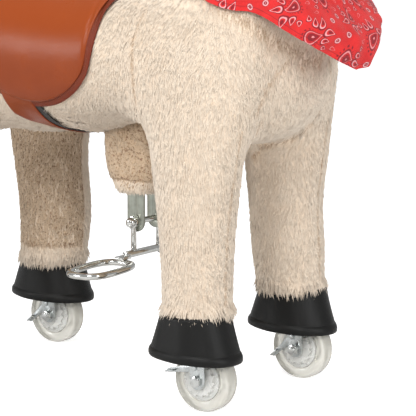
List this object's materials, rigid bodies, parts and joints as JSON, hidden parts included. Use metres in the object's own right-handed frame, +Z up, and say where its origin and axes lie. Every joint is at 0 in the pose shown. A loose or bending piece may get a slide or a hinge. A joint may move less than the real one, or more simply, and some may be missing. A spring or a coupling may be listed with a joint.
{
  "type": "plush ride-on horse",
  "caption": "Stuffed ride-on horse on ratchet wheels: bouncing in the saddle scissors the legs and rolls it forwards, and turning its head steers.",
  "frame": {"origin": "on the floor, midway between the four wheels", "axes": "+X forwards, +Y to the horse's left, +Z up"},
  "size_m": [0.9856, 0.4052, 0.978],
  "materials": {
    "cream_plush": "long soft pile",
    "tan_plush": "long soft pile",
    "mane_plush": "long soft pile",
    "brown_leather": "padded leatherette, satin",
    "dark_leather": "satin leatherette",
    "hoof_rubber": "satin black moulded",
    "zinc": "zinc plated",
    "chrome": "bright plated",
    "frame_paint": "black paint",
    "nylon": "natural nylon",
    "plywood": "bare plywood",
    "wheel_plastic": "moulded, glossy",
    "clear_tyre": "cast translucent",
    "grip_rubber": "matt",
    "red_cloth": "printed cotton"
  },
  "bodies": {
    "chassis": {"body_plush": "cream_plush", "main_frame": "frame_paint", "seat_board": "plywood", "front_pivot_bush": "nylon", "rear_pivot_bush": "nylon", "pedal_bar_left": "zinc", "pedal_bar_right": "zinc", "pedal_post_sleeve": "tan_plush", "stirrup_pivot_bolt": "chrome", "saddle_skirt": "brown_leather", "girth": "brown_leather", "saddle_seat": "brown_leather", "tail": "mane_plush", "bandana": "red_cloth"},
    "front_legs": {"front_pivot_shaft": "zinc", "leg_tube_front_left": "frame_paint", "leg_plush_front_left": "cream_plush", "hoof_cuff_front_left": "hoof_rubber", "leg_tube_front_right": "frame_paint", "leg_plush_front_right": "cream_plush", "hoof_cuff_front_right": "hoof_rubber"},
    "rear_legs": {"rear_pivot_shaft": "zinc", "leg_tube_rear_left": "frame_paint", "leg_plush_rear_left": "cream_plush", "hoof_cuff_rear_left": "hoof_rubber", "fork_rear_left": "zinc", "axle_bolt_rear_left": "zinc", "leg_tube_rear_right": "frame_paint", "leg_plush_rear_right": "cream_plush", "hoof_cuff_rear_right": "hoof_rubber", "fork_rear_right": "zinc", "axle_bolt_rear_right": "zinc"},
    "head": {"neck_plush": "cream_plush", "head_plush": "cream_plush", "mane": "mane_plush", "halter": "dark_leather", "steering_stem": "frame_paint", "handlebar": "chrome", "grip_left": "grip_rubber", "grip_right": "grip_rubber"},
    "stirrup": {"stirrup_crossbar": "chrome", "foot_loop_left": "chrome", "foot_loop_right": "chrome"},
    "front_left_fork": {"fork_front_left": "zinc", "axle_bolt_front_left": "zinc"},
    "front_left_wheel": {"wheel_core_front_left": "wheel_plastic", "tyre_front_left": "clear_tyre"},
    "front_left_pawl": {"pawl_front_left": "zinc"},
    "front_right_fork": {"fork_front_right": "zinc", "axle_bolt_front_right": "zinc"},
    "front_right_wheel": {"wheel_core_front_right": "wheel_plastic", "tyre_front_right": "clear_tyre"},
    "front_right_pawl": {"pawl_front_right": "zinc"},
    "rear_left_wheel": {"wheel_core_rear_left": "wheel_plastic", "tyre_rear_left": "clear_tyre"},
    "rear_left_pawl": {"pawl_rear_left": "zinc"},
    "rear_right_wheel": {"wheel_core_rear_right": "wheel_plastic", "tyre_rear_right": "clear_tyre"},
    "rear_right_pawl": {"pawl_rear_right": "zinc"}
  },
  "joints": [
    {"name": "front_leg_swing", "type": "hinge", "parent": "chassis", "child": "front_legs", "pos_m": [0.2305, 0, 0.5], "axis": [0, 1, 0], "range_deg": [-8, 8], "stiffness_Nm_per_rad": 90},
    {"name": "rear_leg_swing", "type": "hinge", "parent": "chassis", "child": "rear_legs", "pos_m": [-0.2575, 0, 0.5], "axis": [0, 1, 0], "range_deg": [-8, 8], "stiffness_Nm_per_rad": 90},
    {"name": "head_steer", "type": "hinge", "parent": "chassis", "child": "head", "pos_m": [0.2775, 0, 0.6547], "axis": [0.3746, 0, 0.9272], "range_deg": [-20, 20]},
    {"name": "stirrup_swing", "type": "hinge", "parent": "chassis", "child": "stirrup", "pos_m": [0.04, 0, 0.257], "axis": [0, 1, 0], "range_deg": [-25, 25]},
    {"name": "front_left_steer", "type": "hinge", "parent": "front_legs", "child": "front_left_fork", "pos_m": [0.2305, 0.1385, 0.112], "axis": [0, 0, 1], "range_deg": [-20, 20]},
    {"name": "front_right_steer", "type": "hinge", "parent": "front_legs", "child": "front_right_fork", "pos_m": [0.2305, -0.1385, 0.112], "axis": [0, 0, 1], "range_deg": [-20, 20]},
    {"name": "front_left_roll", "type": "hinge", "parent": "front_left_fork", "child": "front_left_wheel", "pos_m": [0.2495, 0.1385, 0.05], "axis": [0, 1, 0], "continuous": true},
    {"name": "front_left_pawl_turn", "type": "hinge", "parent": "front_left_fork", "child": "front_left_pawl", "pos_m": [0.2445, 0.1385, 0.07], "axis": [0, 1, 0], "range_deg": [0, 35]},
    {"name": "front_right_roll", "type": "hinge", "parent": "front_right_fork", "child": "front_right_wheel", "pos_m": [0.2495, -0.1385, 0.05], "axis": [0, 1, 0], "continuous": true},
    {"name": "front_right_pawl_turn", "type": "hinge", "parent": "front_right_fork", "child": "front_right_pawl", "pos_m": [0.2445, -0.1385, 0.07], "axis": [0, 1, 0], "range_deg": [-31, 4]},
    {"name": "rear_left_roll", "type": "hinge", "parent": "rear_legs", "child": "rear_left_wheel", "pos_m": [-0.2495, 0.1385, 0.05], "axis": [0, 1, 0], "continuous": true},
    {"name": "rear_left_pawl_turn", "type": "hinge", "parent": "rear_legs", "child": "rear_left_pawl", "pos_m": [-0.2545, 0.1385, 0.07], "axis": [0, 1, 0], "range_deg": [0, 35]},
    {"name": "rear_right_roll", "type": "hinge", "parent": "rear_legs", "child": "rear_right_wheel", "pos_m": [-0.2495, -0.1385, 0.05], "axis": [0, 1, 0], "continuous": true},
    {"name": "rear_right_pawl_turn", "type": "hinge", "parent": "rear_legs", "child": "rear_right_pawl", "pos_m": [-0.2545, -0.1385, 0.07], "axis": [0, 1, 0], "range_deg": [0, 35]}
  ],
  "couplings": [
    {"joint": "rear_leg_swing", "follows": "front_leg_swing", "ratio": -1},
    {"joint": "front_left_steer", "follows": "head_steer", "ratio": 1},
    {"joint": "front_right_steer", "follows": "head_steer", "ratio": 1}
  ]
}
